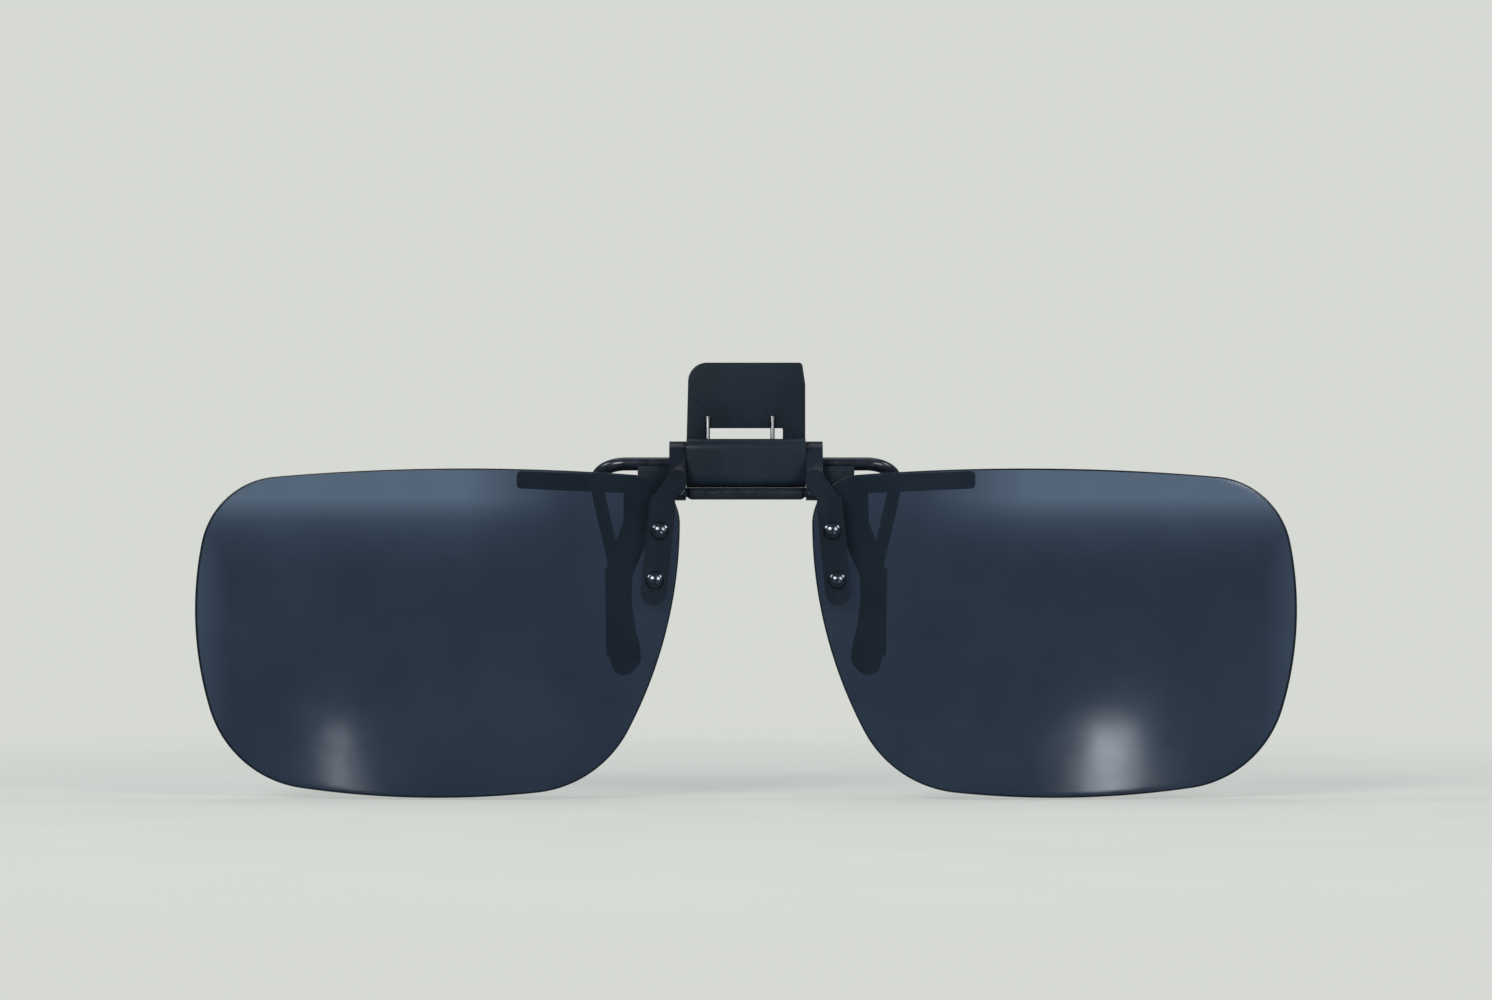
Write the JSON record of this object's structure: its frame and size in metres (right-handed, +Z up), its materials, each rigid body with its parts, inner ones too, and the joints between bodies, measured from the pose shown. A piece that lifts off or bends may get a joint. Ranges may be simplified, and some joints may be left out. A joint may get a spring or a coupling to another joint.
{
  "type": "clip-on flip lenses",
  "caption": "Clip-on flip-up tinted lenses: black spring clip with thumb tab, rest bars and wire prongs, and a hinged frame that swings the pair of rounded rectangular lenses up.",
  "frame": {"origin": "on the centre plane, at the rear face of the front prongs where the wearer's spectacle lens is gripped, level with the underside of the rest bars at the middle", "axes": "+X to the right seen from the front, +Y back towards the wearer, +Z up with the lenses hanging down"},
  "size_m": [0.1228, 0.0105, 0.0484],
  "materials": {
    "black_moulding": "moulded black with a cool cast, satin, slightly rounded edges",
    "black_wire": "gloss black enamel on steel wire",
    "black_vinyl": "soft black vinyl, semi-gloss",
    "spring_steel": "bright drawn wire",
    "dark_rivet": "dark nickel, polished domes",
    "tinted_lens": "polished dark smoke grey-blue sheet, clear enough to see through"
  },
  "bodies": {
    "clip_body": {"hinge_housing": "black_moulding", "front_jaw": "black_moulding", "torsion_spring": "spring_steel"},
    "rear_jaw": {"thumb_lever": "black_moulding", "rear_prong_wire_left": "black_wire", "rear_prong_wire_right": "black_wire", "rear_prong_sleeve_left": "black_vinyl", "rear_prong_sleeve_right": "black_vinyl", "rear_prong_tip_left": "black_vinyl", "rear_prong_tip_right": "black_vinyl"},
    "flip_frame": {"lens_bracket_left": "black_moulding", "lens_bracket_right": "black_moulding", "bridge_rod": "black_wire", "lens_left": "tinted_lens", "lens_right": "tinted_lens", "rivet_upper_left": "dark_rivet", "rivet_lower_left": "dark_rivet", "rivet_upper_right": "dark_rivet", "rivet_lower_right": "dark_rivet", "washer_upper_left": "dark_rivet", "washer_lower_left": "dark_rivet", "washer_upper_right": "dark_rivet", "washer_lower_right": "dark_rivet"}
  },
  "joints": [
    {"name": "lens_flip", "type": "hinge", "parent": "clip_body", "child": "flip_frame", "pos_m": [0, 0.0005, 0.00335], "axis": [-1, 0, 0], "range_deg": [0, 100]},
    {"name": "jaw_squeeze", "type": "hinge", "parent": "clip_body", "child": "rear_jaw", "pos_m": [0, 0.0005, 0.00335], "axis": [1, 0, 0], "range_deg": [0, 22], "stiffness_Nm_per_rad": 0.04, "springref_deg": -35.52, "deforming": ["torsion_spring"]}
  ]
}
